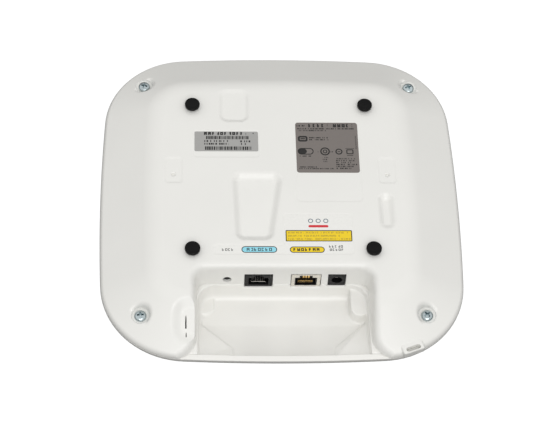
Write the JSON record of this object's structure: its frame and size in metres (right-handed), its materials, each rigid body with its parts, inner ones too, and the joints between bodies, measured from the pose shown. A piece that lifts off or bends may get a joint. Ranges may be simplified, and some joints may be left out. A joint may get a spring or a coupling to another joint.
{
  "type": "ceiling access point",
  "caption": "Rounded square ceiling access point with sloping shoulders, a cable bay with network and power jacks, bracket pins and external antenna jacks.",
  "frame": {"origin": "centre of the flat plateau on the ceiling side, in its plane", "axes": "+Z to the ceiling, +Y away from the cable bay, +X to the right seen from the ceiling side"},
  "size_m": [0.221, 0.221, 0.047],
  "materials": {
    "white_paint": "gloss powder coat",
    "white_plastic": "gloss",
    "black_rubber": "satin",
    "black_plastic": "matte",
    "zinc_steel": "bright zinc",
    "nickel": "bright nickel",
    "brass": "satin",
    "gold": "bright gold plate",
    "silver_label": "satin foil",
    "grey_label": "satin",
    "white_label": "gloss",
    "board_green": "satin",
    "chip_black": "matte",
    "thermal_pad": "matte",
    "clear_plastic": "clear gloss",
    "ferrite": "matte",
    "cable_jacket": "satin",
    "white_insulator": "satin"
  },
  "bodies": {
    "body": {"antenna_coax_1": "cable_jacket", "antenna_coax_2": "cable_jacket", "antenna_coax_3": "cable_jacket", "antenna_core_1": "white_insulator", "antenna_core_2": "white_insulator", "antenna_core_3": "white_insulator", "antenna_jack_1": "nickel", "antenna_jack_2": "nickel", "antenna_jack_3": "nickel", "antenna_nut_1": "nickel", "antenna_nut_2": "nickel", "antenna_nut_3": "nickel", "bay_liner": "white_plastic", "board_screw_1": "zinc_steel", "board_screw_2": "zinc_steel", "board_screw_3": "zinc_steel", "board_screw_4": "zinc_steel", "bulk_capacitor": "nickel", "console_jack_housing": "black_plastic", "cover_screw_1": "zinc_steel", "cover_screw_2": "zinc_steel", "cover_screw_3": "zinc_steel", "cover_screw_4": "zinc_steel", "ethernet_jack_insert": "black_plastic", "ethernet_jack_shield": "nickel", "front_cover": "white_plastic", "main_board": "board_green", "mode_switch_body": "black_plastic", "mount_pin_1": "zinc_steel", "mount_pin_2": "zinc_steel", "mount_pin_3": "zinc_steel", "mount_pin_4": "zinc_steel", "pin_cap_1": "black_rubber", "pin_cap_2": "black_rubber", "pin_cap_3": "black_rubber", "pin_cap_4": "black_rubber", "port_label": "white_label", "power_inductor": "ferrite", "power_jack_housing": "black_plastic", "power_jack_pin": "nickel", "processor_chip": "chip_black", "processor_shield_lower": "nickel", "processor_thermal_pad": "thermal_pad", "radio_shield_lower": "nickel", "radio_shield_top": "nickel", "radio_thermal_pad": "thermal_pad", "rating_label": "grey_label", "rear_shell": "white_paint", "serial_label": "silver_label", "status_lamp": "white_insulator", "status_light_pipe": "clear_plastic", "thread_insert_1": "brass", "thread_insert_2": "brass", "thread_insert_3": "brass", "thread_insert_4": "brass"},
    "mode_button": {"mode_button": "black_plastic"},
    "console_contacts": {"console_contacts": "nickel"},
    "ethernet_contacts": {"ethernet_contacts": "gold"},
    "power_jack_spring": {"power_jack_spring": "nickel"}
  },
  "joints": [
    {"name": "mode_button_slide", "type": "slide", "parent": "body", "child": "mode_button", "axis": [0, 1, 0], "range_m": [0, 0.0008], "stiffness_N_per_m": 400, "springref_m": -0.0006},
    {"name": "console_contacts_flex", "type": "hinge", "parent": "body", "child": "console_contacts", "pos_m": [-0.01455, -0.0553, -0.0198], "axis": [-1, 0, 0], "range_deg": [0, 6], "stiffness_Nm_per_rad": 0.05, "springref_deg": -2.86},
    {"name": "ethernet_contacts_flex", "type": "hinge", "parent": "body", "child": "ethernet_contacts", "pos_m": [0.0138, -0.0549, -0.01975], "axis": [-1, 0, 0], "range_deg": [0, 6], "stiffness_Nm_per_rad": 0.05, "springref_deg": -2.86},
    {"name": "power_spring_flex", "type": "hinge", "parent": "body", "child": "power_jack_spring", "pos_m": [0.03235, -0.0472, -0.0181], "axis": [1, 0, 0], "range_deg": [0, 7], "stiffness_Nm_per_rad": 0.02, "springref_deg": -2.86}
  ]
}
